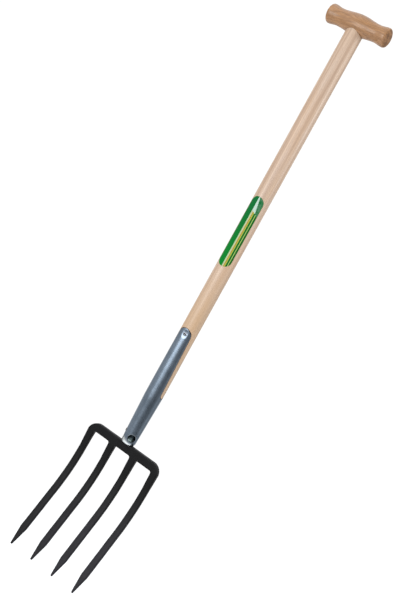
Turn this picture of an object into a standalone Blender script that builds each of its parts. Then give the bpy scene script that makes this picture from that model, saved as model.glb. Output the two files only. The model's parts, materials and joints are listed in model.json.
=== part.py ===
"""Digging fork: a forged four-tine head in a steel strap socket, on a wooden shaft with a turned T-grip.

Z runs up the shaft, X along the crossbar, and the tines lean forward, to -Y.
Heights are measured from the top of the crossbar. The origin is the middle of the T-grip, so every
piece hangs from an empty that lies GRIP_HEIGHT below it.
"""

import math

import bmesh
import bpy
from mathutils import Matrix, Vector

MM = 0.001
GAP = 0.3 * MM  # clearance between pieces that touch
STEPS = 48  # sides of a turned shape
SMALL_STEPS = 24  # sides of a rivet or a hole
FAR = 40 * MM  # reach of a cutter beyond the stock
TINY = 0.001 * MM  # points closer than this count as one

# Fork head
HEAD_WIDTH = 183 * MM
CROSSBAR_HEIGHT = 18.5 * MM
CROSSBAR_THICKNESS = 13 * MM
OUTER_CORNER = 22 * MM
INNER_CORNER = 3.5 * MM
TINE_COUNT = 4
TINE_ROOT_WIDTH = 16 * MM
TINE_WIDTH = 14.4 * MM
TINE_NECK = 40 * MM  # length over which the root narrows to the tine
TINE_LENGTH = 301 * MM  # along the tine, from the top of the crossbar to the tip
TINE_PITCH = (HEAD_WIDTH - TINE_ROOT_WIDTH) / (TINE_COUNT - 1)
TINE_THICKNESS = 10 * MM
TINE_END_THICKNESS = 8.5 * MM
BEND_START = 52 * MM
BEND_LENGTH = 111 * MM
BEND_ANGLE = math.radians(23)
POINT_LENGTH = 39 * MM
TIP_WIDTH = 4.2 * MM
TIP_THICKNESS = 3.6 * MM
EDGE_CHAMFER = 1.6 * MM
BOSS_REACH = 20 * MM
BOSS_DEPTH = 4.5 * MM  # how far the boss stands out of each face of the crossbar
TANG_WIDTH = 14 * MM
TANG_HEIGHT = 36 * MM
TANG_THICKNESS = 9 * MM

# Socket: a closed cone that runs on up the shaft as a front and a rear strap
SOCKET_WALL = 2 * MM
SOCKET_FOOT_HEIGHT = 8 * MM
SOCKET_FOOT_TUCK = 3 * MM  # how far the foot rolls in under the tube
SOCKET_FOOT_RADIUS = 15.1 * MM
SOCKET_MOUTH_RADIUS = 18.5 * MM
CONE_HEIGHT = 108 * MM
STRAP_TOP = 263.7 * MM
STRAP_HALF_WIDTH = 14.4 * MM
SLOT_BOTTOM = 113 * MM  # where the slot that parts the straps starts, on each side
SLOT_HALF_WIDTH = 7.5 * MM
WINDOW_RADIUS = 8.3 * MM
WINDOW_HEIGHT = 15.5 * MM
WINDOW_ANGLE = math.radians(34)  # the window faces the front right
WELD_HEIGHT = 11 * MM
WELD_TAPER = 0.16  # share of its radius that the weld bead loses by its top

# Rivets
SHANK_RADIUS = 2.5 * MM
RIVET_HEAD_RADIUS = 4.4 * MM
RIVET_HEAD_HEIGHT = 1.5 * MM
RIVET_HEIGHT = 252.5 * MM
RIVET_ANGLE = math.radians(7)  # the rivet sits a little to the right of the strap's middle
PIN_HEAD_RADIUS = 3.4 * MM
PIN_HEAD_HEIGHT = 1 * MM
PIN_HEIGHT = 24.5 * MM
PIN_ANGLE = math.radians(-65)  # the pin's head faces the left, a little to the front

# Shaft
SHAFT_FOOT = 38 * MM
SHAFT_RADIUS = 18.2 * MM
SHAFT_TOP_RADIUS = 17.9 * MM
TENON_RADIUS = 11 * MM
TENON_DEPTH = 30 * MM  # how far the tenon runs down inside the shaft's own wood
WEDGE_LENGTH = 32 * MM
WEDGE_WIDTH = 19 * MM
WEDGE_TOP = 3.2 * MM
WEDGE_BOTTOM = 0.8 * MM

# T-grip
GRIP_HEIGHT = 932.5 * MM
GRIP_HALF_LENGTH = 68.4 * MM
GRIP_BARREL_RADIUS = 21.4 * MM
GRIP_WAIST_RADIUS = 17.2 * MM
GRIP_WAIST = 42.5 * MM
GRIP_END_RADIUS = 19.4 * MM
GRIP_END = 60.5 * MM

# Label
LABEL_BOTTOM = 405 * MM
LABEL_TOP = 558 * MM
LABEL_HALF_WIDTH = 13.6 * MM
LABEL_THICKNESS = 0.25 * MM


def clear_scene():
    for item in list(bpy.data.objects):
        bpy.data.objects.remove(item, do_unlink=True)


def add_collection(name):
    collection = bpy.data.collections.new(name)
    bpy.context.scene.collection.children.link(collection)
    return collection


def add_material(name, colour, roughness, metallic):
    material = bpy.data.materials.new(name)
    material.use_nodes = True
    shader = material.node_tree.nodes["Principled BSDF"]
    shader.inputs["Base Color"].default_value = (*colour, 1)
    shader.inputs["Roughness"].default_value = roughness
    shader.inputs["Metallic"].default_value = metallic
    return material


def mix(start, end, share):
    return start + (end - start) * min(max(share, 0), 1)


def swell(share):
    """A smooth hump: 1 at 0, falling to 0 at 1 and beyond."""
    return 0.5 + 0.5 * math.cos(math.pi * min(abs(share), 1))


def arc(centre_x, centre_z, radius, start, end, steps=8):
    """Points of a round corner, from one angle to another in degrees."""
    angles = [math.radians(mix(start, end, step / steps)) for step in range(steps + 1)]
    return [(centre_x + radius * math.cos(a), centre_z + radius * math.sin(a)) for a in angles]


def make_object(name, mesh, collection, parent):
    item = bpy.data.objects.new(name, mesh)
    collection.objects.link(item)
    item.parent = parent
    return item


def turned(name, profile, collection, parent, closed=False, steps=STEPS):
    """A profile of (radius, height) points turned about Z."""
    mesh = bpy.data.meshes.new(name)
    points = [(radius, 0, height) for radius, height in profile]
    edges = [(i, i + 1) for i in range(len(points) - 1)]
    if closed:
        edges.append((len(points) - 1, 0))
    mesh.from_pydata(points, edges, [])
    item = make_object(name, mesh, collection, parent)
    screw = item.modifiers.new("Screw", "SCREW")
    screw.steps = steps
    screw.render_steps = steps
    screw.use_merge_vertices = True
    screw.merge_threshold = 0.01 * MM
    return item


def plate(name, outline, half_depth, collection, parent, chamfer=0.0):
    """A flat outline of (x, z) points, given thickness along Y, as a mesh with a single face on each side."""
    curve = bpy.data.curves.new(name, "CURVE")
    curve.dimensions = "2D"
    curve.fill_mode = "BOTH"
    curve.extrude = half_depth - chamfer
    curve.bevel_depth = chamfer
    curve.bevel_resolution = 0
    curve.offset = -chamfer
    spline = curve.splines.new("POLY")
    spline.points.add(len(outline) - 1)
    for point, (x, z) in zip(spline.points, outline):
        point.co = (x, z, 0, 1)
    spline.use_cyclic_u = True
    drawn = bpy.data.objects.new(name + "_outline", curve)
    collection.objects.link(drawn)
    evaluated = drawn.evaluated_get(bpy.context.evaluated_depsgraph_get())
    mesh = bpy.data.meshes.new_from_object(evaluated)
    bpy.data.objects.remove(drawn, do_unlink=True)
    mesh.name = name
    mesh.transform(Matrix.Rotation(math.radians(90), 4, "X"))
    shape = bmesh.new()
    shape.from_mesh(mesh)
    bmesh.ops.remove_doubles(shape, verts=shape.verts, dist=TINY)
    flats = [face for face in shape.faces if abs(face.calc_center_median().y) > half_depth - TINY]
    bmesh.ops.delete(shape, geom=flats, context="FACES")
    bmesh.ops.holes_fill(shape, edges=[edge for edge in shape.edges if edge.is_boundary], sides=0)
    bmesh.ops.recalc_face_normals(shape, faces=shape.faces)
    shape.to_mesh(mesh)
    shape.free()
    return make_object(name, mesh, collection, parent)


def rod(name, radius, start, end, collection, parent):
    """A plain round bar between two points."""
    mesh = bpy.data.meshes.new(name)
    shape = bmesh.new()
    along = Vector(end) - Vector(start)
    place = Matrix.Translation((Vector(start) + Vector(end)) / 2)
    place = place @ along.to_track_quat("Z", "Y").to_matrix().to_4x4()
    bmesh.ops.create_cone(
        shape,
        cap_ends=True,
        segments=SMALL_STEPS,
        radius1=radius,
        radius2=radius,
        depth=along.length,
        matrix=place,
    )
    shape.to_mesh(mesh)
    shape.free()
    return make_object(name, mesh, collection, parent)


def boolean(item, other, operation):
    modifier = item.modifiers.new(operation.title(), "BOOLEAN")
    modifier.operation = operation
    modifier.solver = "EXACT"
    modifier.object = other


def socket_outer(height):
    """Outside radius of the socket: a foot that rolls in, a straight cone, then level straps."""
    radius = mix(SOCKET_FOOT_RADIUS, SOCKET_MOUTH_RADIUS, height / CONE_HEIGHT)
    tuck = 1 - min(height / SOCKET_FOOT_HEIGHT, 1)
    return radius - SOCKET_FOOT_TUCK * (1 - math.sqrt(1 - tuck**2))


def socket_inner(height):
    return socket_outer(height) - SOCKET_WALL


def strap_outline(extra=0.0):
    """Front view of the socket: open at the sides, with the straps' round tops."""
    shoulder = STRAP_TOP - STRAP_HALF_WIDTH
    side = [(FAR, -FAR), (FAR, shoulder - FAR / 2)]
    side += arc(0, shoulder, STRAP_HALF_WIDTH + extra, 0, 90, 10)
    return side + [(-x, z) for x, z in reversed(side[:-1])]


def slot_outline(extra=0.0):
    """Side view of the slot between the straps: a round bottom, then widening up to the shoulders."""
    shoulder = STRAP_TOP - STRAP_HALF_WIDTH
    top_half_width = math.sqrt(SOCKET_MOUTH_RADIUS**2 - STRAP_HALF_WIDTH**2)
    side = arc(0, SLOT_BOTTOM + SLOT_HALF_WIDTH, SLOT_HALF_WIDTH + extra, 270, 360)
    side += [(top_half_width + extra, shoulder), (top_half_width + extra, STRAP_TOP + FAR)]
    return side + [(-y, z) for y, z in reversed(side[1:])]


def slot_cutter(name, extra, cutters, parent):
    cutter = plate(name, slot_outline(extra), FAR, cutters, parent)
    cutter.rotation_euler.z = math.radians(90)
    return cutter


def grip_radius(distance):
    """Radius of the T-grip at a distance from its middle: barrel, waist, flared end."""
    reach = abs(distance)
    if reach < GRIP_WAIST:
        return mix(GRIP_WAIST_RADIUS, GRIP_BARREL_RADIUS, swell(reach / GRIP_WAIST))
    if reach < GRIP_END:
        share = (reach - GRIP_WAIST) / (GRIP_END - GRIP_WAIST)
        return mix(GRIP_END_RADIUS, GRIP_WAIST_RADIUS, swell(share))
    share = (reach - GRIP_END) / (GRIP_HALF_LENGTH - GRIP_END)
    return GRIP_END_RADIUS * math.sqrt(1 - 0.83 * share**2.6)


def grip_profile(extra=0.0):
    """Profile of the grip, top to bottom, closed on its axis."""
    reach = GRIP_HALF_LENGTH
    ends = [reach - (reach - GRIP_END) * (step / 5) ** 1.6 for step in range(6)]
    middle = [GRIP_END * (1 - step / 12) for step in range(1, 13)]
    upper = [(grip_radius(x) + extra, x) for x in ends + middle]
    lower = [(radius, -x) for radius, x in reversed(upper[:-1])]
    return [(0, reach)] + upper + lower + [(0, -reach)]


def bend(down):
    """Where a point on the tines' centreline lies, and its lean, by its distance down the steel."""
    share = min(max((down - BEND_START) / BEND_LENGTH, 0), 1)
    lean = BEND_ANGLE * share
    radius = BEND_LENGTH / BEND_ANGLE
    straight = max(down - BEND_START - BEND_LENGTH, 0)
    forward = radius * (1 - math.cos(lean)) + straight * math.sin(lean)
    drop = min(down, BEND_START) + radius * math.sin(lean) + straight * math.cos(lean)
    return forward, drop, lean


def tine_centres():
    return [(index - (TINE_COUNT - 1) / 2) * TINE_PITCH for index in range(TINE_COUNT)]


def tine_width(down):
    width = mix(TINE_ROOT_WIDTH, TINE_WIDTH, (down - CROSSBAR_HEIGHT) / TINE_NECK)
    point = (down - TINE_LENGTH + POINT_LENGTH) / POINT_LENGTH
    return mix(width, TIP_WIDTH, point)


def steel_thickness(across, down):
    """Thickness of the head: tang above, crossbar with its boss, then tines that thin to the point."""
    if down < 0:
        return TANG_THICKNESS
    body = mix(CROSSBAR_THICKNESS, TINE_THICKNESS, (down - CROSSBAR_HEIGHT) / TINE_NECK)
    body = mix(body, TINE_END_THICKNESS, (down - BEND_START) / (TINE_LENGTH - BEND_START))
    point = (down - TINE_LENGTH + POINT_LENGTH) / POINT_LENGTH
    boss = swell(across / BOSS_REACH) * swell(down / CROSSBAR_HEIGHT)
    return mix(body, TIP_THICKNESS, point) + 2 * BOSS_DEPTH * boss


def shape_head(point):
    """Moves a point of the flat comb to its place on the bent head."""
    down = -point.z
    across = point.x
    if down > CROSSBAR_HEIGHT + INNER_CORNER:
        centre = min(tine_centres(), key=lambda x: abs(x - across))
        across = centre + (across - centre) * tine_width(down) / TINE_ROOT_WIDTH
    depth = point.y * steel_thickness(across, down) / CROSSBAR_THICKNESS
    forward, drop, lean = bend(down)
    return Vector((across, depth * math.cos(lean) - forward, -drop - depth * math.sin(lean)))


def comb_outline():
    """The head laid flat: tang, crossbar and square-ended tines."""
    half = HEAD_WIDTH / 2
    tang = TANG_WIDTH / 2
    inner = CROSSBAR_HEIGHT + INNER_CORNER
    corner = arc(OUTER_CORNER - half, -OUTER_CORNER, OUTER_CORNER, 180, 90)
    top = corner + [(-tang, 0), (-tang, TANG_HEIGHT)]
    outline = top + [(-x, z) for x, z in reversed(top)]
    centres = sorted(tine_centres(), reverse=True)
    for index, centre in enumerate(centres):
        right = centre + TINE_ROOT_WIDTH / 2
        left = centre - TINE_ROOT_WIDTH / 2
        if index > 0:
            outline += arc(right + INNER_CORNER, -inner, INNER_CORNER, 90, 180, 5)
        outline += [(right, -TINE_LENGTH), (left, -TINE_LENGTH)]
        if index < TINE_COUNT - 1:
            outline += arc(left - INNER_CORNER, -inner, INNER_CORNER, 0, 90, 5)
    return outline


def cut_levels(shape, levels, normal):
    """Adds edge loops across a mesh where planes at these distances cross it."""
    for level in levels:
        bmesh.ops.bisect_plane(
            shape,
            geom=shape.verts[:] + shape.edges[:] + shape.faces[:],
            dist=TINY,
            plane_co=Vector(normal) * level,
            plane_no=normal,
        )


def build_fork_head(collection, parent):
    head = plate("fork_head", comb_outline(), CROSSBAR_THICKNESS / 2, collection, parent, EDGE_CHAMFER)
    shape = bmesh.new()
    shape.from_mesh(head.data)
    bends = [BEND_START + BEND_LENGTH * step / 10 for step in range(11)]
    neck = [CROSSBAR_HEIGHT + INNER_CORNER + 0.1 * MM, CROSSBAR_HEIGHT + TINE_NECK]
    point = [TINE_LENGTH - POINT_LENGTH]
    boss = [CROSSBAR_HEIGHT * step / 4 for step in range(4)]
    tang_root = [-GAP]
    cut_levels(shape, bends + neck + point + boss + tang_root, (0, 0, -1))
    cut_levels(shape, [BOSS_REACH * step / 4 for step in range(-4, 5)], (1, 0, 0))
    for vertex in shape.verts:
        vertex.co = shape_head(vertex.co)
    bmesh.ops.triangulate(shape, faces=shape.faces)
    shape.to_mesh(head.data)
    shape.free()
    return head


def build_socket(collection, cutters, parent):
    foot = [SOCKET_FOOT_HEIGHT * (1 - math.cos(math.pi / 2 * step / 5)) for step in range(2, 6)]
    heights = [2 * GAP, *foot, CONE_HEIGHT, STRAP_TOP + FAR]
    outer = [(socket_outer(height), height) for height in reversed(heights)]
    inner = [(socket_inner(height), height) for height in heights]
    socket = turned("socket", outer + inner, collection, parent, closed=True)
    outline = plate("strap_outline", strap_outline(), FAR, cutters, parent)
    boolean(socket, outline, "INTERSECT")
    boolean(socket, slot_cutter("strap_slot", 0.0, cutters, parent), "DIFFERENCE")
    side = Vector((math.sin(WINDOW_ANGLE), -math.cos(WINDOW_ANGLE), 0))
    middle = Vector((0, 0, WINDOW_HEIGHT))
    window = rod("window", WINDOW_RADIUS, middle + side * 4 * MM, middle + side * FAR, cutters, parent)
    boolean(socket, window, "DIFFERENCE")
    return socket


def build_tang_weld(collection, cutters, parent):
    foot = socket_inner(0) - GAP
    shares = [step / 5 for step in reversed(range(6))]
    side = [(foot * (1 - WELD_TAPER * share**2), mix(2 * GAP, WELD_HEIGHT, share)) for share in shares]
    weld = turned("tang_weld", [(0, WELD_HEIGHT), *side, (0, 2 * GAP)], collection, parent)
    slot = [
        (-TANG_WIDTH / 2 - GAP, -FAR),
        (TANG_WIDTH / 2 + GAP, -FAR),
        (TANG_WIDTH / 2 + GAP, FAR),
        (-TANG_WIDTH / 2 - GAP, FAR),
    ]
    cutter = plate("tang_slot", slot, TANG_THICKNESS / 2 + 2 * GAP, cutters, parent)
    boolean(weld, cutter, "DIFFERENCE")
    return weld


def build_shaft(collection, cutters, parent):
    top = GRIP_HEIGHT - GRIP_BARREL_RADIUS / 4
    profile = [(0, top), (SHAFT_TOP_RADIUS, top), (SHAFT_RADIUS, STRAP_TOP), (SHAFT_RADIUS, SHAFT_FOOT)]
    shaft = turned("shaft", profile + [(0, SHAFT_FOOT)], collection, parent)

    ring = [(FAR, STRAP_TOP + FAR), (FAR, SOCKET_FOOT_HEIGHT)]
    heights = (SOCKET_FOOT_HEIGHT, CONE_HEIGHT, STRAP_TOP + FAR)
    ring += [(socket_inner(height) - GAP, height) for height in heights]
    rebate = turned("strap_rebate", ring, cutters, parent, closed=True)
    boolean(rebate, plate("rebate_outline", strap_outline(GAP), FAR, cutters, parent), "INTERSECT")
    boolean(rebate, slot_cutter("rebate_slot", -GAP, cutters, parent), "DIFFERENCE")
    boolean(shaft, rebate, "DIFFERENCE")

    saddle = turned("grip_saddle", grip_profile(GAP), cutters, parent)
    saddle.location.z = GRIP_HEIGHT
    saddle.rotation_euler.y = math.radians(90)
    boolean(shaft, saddle, "DIFFERENCE")

    tenon_start = (0, 0, GRIP_HEIGHT - GRIP_BARREL_RADIUS - TENON_DEPTH)
    tenon = rod("tenon", TENON_RADIUS, tenon_start, (0, 0, GRIP_HEIGHT + FAR), cutters, parent)
    boolean(shaft, tenon, "UNION")
    return shaft


def wedge_outline(extra=0.0):
    """End view of the tenon's wedge, thick at the top, which stands above the grip until it is trimmed."""
    top = GRIP_HEIGHT + GRIP_BARREL_RADIUS + FAR / 8
    bottom = top - WEDGE_LENGTH
    return [
        (-WEDGE_TOP / 2 - extra, top + 10 * extra),
        (-WEDGE_BOTTOM / 2 - extra, bottom - extra),
        (WEDGE_BOTTOM / 2 + extra, bottom - extra),
        (WEDGE_TOP / 2 + extra, top + 10 * extra),
    ]


def build_trim(cutters, parent):
    """The waste above the grip: what is sanded off the tenon and its wedge, just inside the grip's skin."""
    outline = [(-FAR, 0), (FAR, 0), (FAR, 2 * FAR), (-FAR, 2 * FAR)]
    trim = plate("tenon_trim", outline, FAR, cutters, parent)
    trim.location.z = GRIP_HEIGHT
    crown = turned("grip_crown", grip_profile(-GAP / 2), cutters, parent)
    crown.location.z = GRIP_HEIGHT
    crown.rotation_euler.y = math.radians(90)
    boolean(trim, crown, "DIFFERENCE")
    return trim


def build_grip(collection, parent):
    grip = turned("t_grip", grip_profile(), collection, parent)
    grip.location.z = GRIP_HEIGHT
    grip.rotation_euler.y = math.radians(90)
    return grip


def build_rivet(name, stock, head_radius, head_height, collection, parent, flush_tail=False):
    """A rivet along -Y through stock of this radius: a domed head, and another or a flush tail behind."""
    seat = stock + GAP
    angles = [math.radians(90) * step / 5 for step in range(6)]
    dome = [(head_radius * math.sin(a), seat + head_height * math.cos(a)) for a in angles]
    half = dome + [(SHANK_RADIUS, seat)]
    back = [(radius, -z) for radius, z in reversed(half)]
    if flush_tail:
        back = [(SHANK_RADIUS, GAP - stock), (0, GAP - stock)]
    rivet = turned(name, half + back, collection, parent, steps=SMALL_STEPS)
    rivet.rotation_euler.x = math.radians(90)
    return rivet


def cross_hole(name, radius, height, angle, cutters, parent):
    """Cutter for a hole straight across the tube, turned from the front by an angle."""
    reach = Vector((math.sin(angle), -math.cos(angle), 0)) * FAR
    middle = Vector((0, 0, height))
    return rod(name, radius, middle - reach, middle + reach, cutters, parent)


def build_label(collection, cutters, parent):
    share = (LABEL_TOP + LABEL_BOTTOM) / 2 / GRIP_HEIGHT
    inside = mix(SHAFT_RADIUS, SHAFT_TOP_RADIUS, share) + GAP
    profile = [
        (inside + LABEL_THICKNESS, LABEL_TOP + FAR),
        (inside + LABEL_THICKNESS, LABEL_BOTTOM - FAR),
        (inside, LABEL_BOTTOM - FAR),
        (inside, LABEL_TOP + FAR),
    ]
    label = turned("label", profile, collection, parent, closed=True)
    top = arc(0, LABEL_TOP - LABEL_HALF_WIDTH, LABEL_HALF_WIDTH, 0, 180, 12)
    bottom = arc(0, LABEL_BOTTOM + LABEL_HALF_WIDTH, LABEL_HALF_WIDTH, 180, 360, 12)
    outline = plate("label_outline", top + bottom, FAR / 2, cutters, parent)
    outline.location.y = -FAR / 2
    boolean(label, outline, "INTERSECT")
    return label


def build_fork():
    clear_scene()
    parts = add_collection("digging_fork")
    cutters = add_collection("cutters")
    frame = bpy.data.objects.new("fork_frame", None)
    parts.objects.link(frame)
    frame.location.z = -GRIP_HEIGHT

    black_paint = add_material("black_paint", (0.02, 0.021, 0.024), 0.5, 0.0)
    galvanised = add_material("galvanised_steel", (0.36, 0.4, 0.45), 0.42, 1.0)
    weld_metal = add_material("weld_metal", (0.3, 0.32, 0.3), 0.55, 1.0)
    rivet_steel = add_material("rivet_steel", (0.42, 0.43, 0.45), 0.38, 1.0)
    ash = add_material("ash_wood", (0.62, 0.43, 0.29), 0.55, 0.0)
    grip_wood = add_material("grip_wood", (0.46, 0.26, 0.14), 0.5, 0.0)
    wedge_wood = add_material("wedge_wood", (0.3, 0.17, 0.09), 0.6, 0.0)
    green_film = add_material("green_film", (0.02, 0.22, 0.08), 0.35, 0.0)

    head = build_fork_head(parts, frame)
    socket = build_socket(parts, cutters, frame)
    weld = build_tang_weld(parts, cutters, frame)
    shaft = build_shaft(parts, cutters, frame)
    grip = build_grip(parts, frame)
    label = build_label(parts, cutters, frame)

    pin_stock = socket_outer(PIN_HEIGHT)
    pin = build_rivet("socket_pin", pin_stock, PIN_HEAD_RADIUS, PIN_HEAD_HEIGHT, parts, frame, True)
    pin.location.z = PIN_HEIGHT
    pin.rotation_euler.z = PIN_ANGLE
    stock = SOCKET_MOUTH_RADIUS
    rivet = build_rivet("strap_rivet", stock, RIVET_HEAD_RADIUS, RIVET_HEAD_HEIGHT, parts, frame)
    rivet.location.z = RIVET_HEIGHT
    rivet.rotation_euler.z = RIVET_ANGLE

    bore = SHANK_RADIUS + GAP
    pin_hole = cross_hole("pin_hole", bore, PIN_HEIGHT, PIN_ANGLE, cutters, frame)
    rivet_hole = cross_hole("rivet_hole", bore, RIVET_HEIGHT, RIVET_ANGLE, cutters, frame)
    boolean(head, pin_hole, "DIFFERENCE")
    boolean(socket, pin_hole, "DIFFERENCE")
    boolean(socket, rivet_hole, "DIFFERENCE")
    boolean(shaft, rivet_hole, "DIFFERENCE")

    mortise = rod(
        "mortise",
        TENON_RADIUS + GAP,
        (0, 0, GRIP_HEIGHT - FAR),
        (0, 0, GRIP_HEIGHT + FAR),
        cutters,
        frame,
    )
    boolean(grip, mortise, "DIFFERENCE")
    wedge = plate("tenon_wedge", wedge_outline(), WEDGE_WIDTH / 2, parts, frame)
    kerf = plate("wedge_kerf", wedge_outline(GAP), WEDGE_WIDTH, cutters, frame)
    boolean(shaft, kerf, "DIFFERENCE")
    trim = build_trim(cutters, frame)
    boolean(shaft, trim, "DIFFERENCE")
    boolean(wedge, trim, "DIFFERENCE")

    finishes = [
        (head, black_paint),
        (socket, galvanised),
        (weld, weld_metal),
        (pin, rivet_steel),
        (rivet, rivet_steel),
        (shaft, ash),
        (grip, grip_wood),
        (wedge, wedge_wood),
        (label, green_film),
    ]
    for item, material in finishes:
        item.data.materials.clear()
        item.data.materials.append(material)
    for cutter in cutters.objects:
        cutter.hide_render = True
        cutter.display_type = "WIRE"


build_fork()
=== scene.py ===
"""Looks of the digging fork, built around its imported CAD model.

Z runs up the shaft, X along the crossbar, and the tines lean forward, to -Y. The origin is the
middle of the T-grip. Heights are measured from the top of the crossbar, which the record's tread
mounts give, and level() turns them into Z.
"""

import json
import math

import bmesh
import bpy
from mathutils import Matrix, Vector, noise


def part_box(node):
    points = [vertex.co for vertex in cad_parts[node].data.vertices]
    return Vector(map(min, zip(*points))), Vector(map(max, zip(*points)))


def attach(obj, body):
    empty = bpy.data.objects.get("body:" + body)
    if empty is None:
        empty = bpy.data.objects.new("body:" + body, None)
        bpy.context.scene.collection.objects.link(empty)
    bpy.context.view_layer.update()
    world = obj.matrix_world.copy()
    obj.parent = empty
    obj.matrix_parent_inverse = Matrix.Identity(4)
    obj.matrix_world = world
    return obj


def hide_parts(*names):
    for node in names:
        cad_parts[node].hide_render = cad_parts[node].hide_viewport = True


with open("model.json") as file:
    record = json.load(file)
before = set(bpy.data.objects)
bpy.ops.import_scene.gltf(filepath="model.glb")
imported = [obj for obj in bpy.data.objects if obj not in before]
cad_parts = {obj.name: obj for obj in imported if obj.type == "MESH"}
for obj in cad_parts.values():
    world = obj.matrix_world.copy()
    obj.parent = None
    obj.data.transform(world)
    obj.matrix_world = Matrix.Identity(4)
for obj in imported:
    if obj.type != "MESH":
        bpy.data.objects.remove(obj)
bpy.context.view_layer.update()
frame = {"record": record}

MM = 0.001
FAR = 40 * MM  # reach of a cutter beyond the stock
MERGE = 0.001 * MM  # points closer than this count as one
CLEARANCE = 0.3 * MM  # between pieces that touch
HEAD_LOW, HEAD_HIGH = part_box("fork_head")
GRIP_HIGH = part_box("t_grip")[1]
SOCKET_LOW, SOCKET_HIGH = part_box("socket")
SHAFT_LOW, SHAFT_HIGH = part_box("shaft")
LABEL_LOW, LABEL_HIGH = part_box("label")
PIN_LOW, PIN_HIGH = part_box("socket_pin")
RIVET_LOW, RIVET_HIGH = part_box("strap_rivet")
CROSSBAR_TOP = next(m["pos_m"][2] for m in frame["record"]["mounts"] if m["name"] == "tread_left")

# Fork head
HEAD_WIDTH = HEAD_HIGH.x - HEAD_LOW.x
CROSSBAR_HEIGHT = 18.5 * MM
CROSSBAR_THICKNESS = 13 * MM
OUTER_CORNER = 22 * MM
INNER_CORNER = 3.5 * MM
TINE_COUNT = 4
TINE_ROOT_WIDTH = 16 * MM
TINE_WIDTH = 14.4 * MM
TINE_NECK = 40 * MM  # length over which the root narrows to the tine
TINE_LENGTH = 300.5 * MM  # along the tine, from the top of the crossbar to the tip
TINE_PITCH = (HEAD_WIDTH - TINE_ROOT_WIDTH) / (TINE_COUNT - 1)
TINE_THICKNESS = 10 * MM
TINE_END_THICKNESS = 8.5 * MM
TINE_CROWN = 0.09  # share of its thickness that a tine loses towards its edges
BEND_START = 52 * MM
BEND_LENGTH = 111 * MM
BEND_ANGLE = math.radians(23)
POINT_LENGTH = 39 * MM
TIP_WIDTH = 4.2 * MM
TIP_THICKNESS = 3.6 * MM
EDGE_ROUND = 2 * MM
BOSS_REACH = 20 * MM
BOSS_DEPTH = 4.5 * MM  # how far the boss stands out of each face of the crossbar
TANG_WIDTH = 14 * MM
TANG_THICKNESS = 9 * MM
TANG_HEIGHT = HEAD_HIGH.z - CROSSBAR_TOP
FORGING_VOXEL = 0.9 * MM
HAMMER_DEPTH = 0.16 * MM
SCALE_DEPTH = 0.05 * MM  # of the finer unevenness
FORGING_INSET = 0.12 * MM  # keeps the unevenness inside the steel's nominal skin

# Socket
SOCKET_FOOT = SOCKET_LOW.z - CROSSBAR_TOP
SOCKET_WALL = 2 * MM
SOCKET_FOOT_HEIGHT = 8 * MM
SOCKET_FOOT_TUCK = 3 * MM  # how far the foot rolls in under the tube
SOCKET_FOOT_RADIUS = 15.1 * MM
SOCKET_MOUTH_RADIUS = SOCKET_HIGH.x
CONE_HEIGHT = 108 * MM
STRAP_TOP = SOCKET_HIGH.z - CROSSBAR_TOP
STRAP_HALF_WIDTH = 14.4 * MM
STRAP_SHOULDER = STRAP_TOP - STRAP_HALF_WIDTH
SLOT_BOTTOM = 113 * MM  # where the slot that parts the straps starts, on each side
SLOT_HALF_WIDTH = 7.5 * MM
SLOT_TOP_HALF_WIDTH = math.sqrt(SOCKET_MOUTH_RADIUS**2 - STRAP_HALF_WIDTH**2)
SHEET_EDGE = 0.4 * MM  # width of the sheet's broken edges
WINDOW_RADIUS = 8.3 * MM
WINDOW_HEIGHT = 15.5 * MM
WINDOW_ANGLE = math.radians(34)
WINDOW_SIDE = Vector((math.sin(WINDOW_ANGLE), -math.cos(WINDOW_ANGLE), 0))
WINDOW_CENTRE = Vector((0, 0, CROSSBAR_TOP + WINDOW_HEIGHT))
WELD_HEIGHT = 11 * MM
WELD_TAPER = 0.16  # share of its radius that the bead loses by its top
WELD_PILE = 4 * MM  # how much higher the bead is piled on the left
WELD_RIPPLE = 0.3 * MM
WELD_VOXEL = 0.4 * MM

# Rivets
PIN_HEIGHT = (PIN_LOW.z + PIN_HIGH.z) / 2 - CROSSBAR_TOP
PIN_HEAD_RADIUS = (PIN_HIGH.z - PIN_LOW.z) / 2
PIN_ANGLE = math.radians(-65)  # its head faces the left, a little to the front
PIN_HEAD_HEIGHT = 1 * MM
RIVET_HEIGHT = (RIVET_LOW.z + RIVET_HIGH.z) / 2 - CROSSBAR_TOP
RIVET_HEAD_RADIUS = (RIVET_HIGH.z - RIVET_LOW.z) / 2
RIVET_ANGLE = math.radians(7)  # it sits a little to the right of the strap's middle
RIVET_TURN = Matrix.Rotation(RIVET_ANGLE, 4, "Z")
SHANK_RADIUS = 2.5 * MM
HEAD_DISH = 0.45  # depth of the hollow in a rivet's head, as a share of the head's height
HEAD_DISH_REACH = 0.42  # and its radius, as a share of the head's
RIVET_INSET = 0.5 * MM  # how much lower its heads are than the CAD's
DIMPLE_RADIUS = 9 * MM
DIMPLE_DEPTH = 1 * MM

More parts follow.
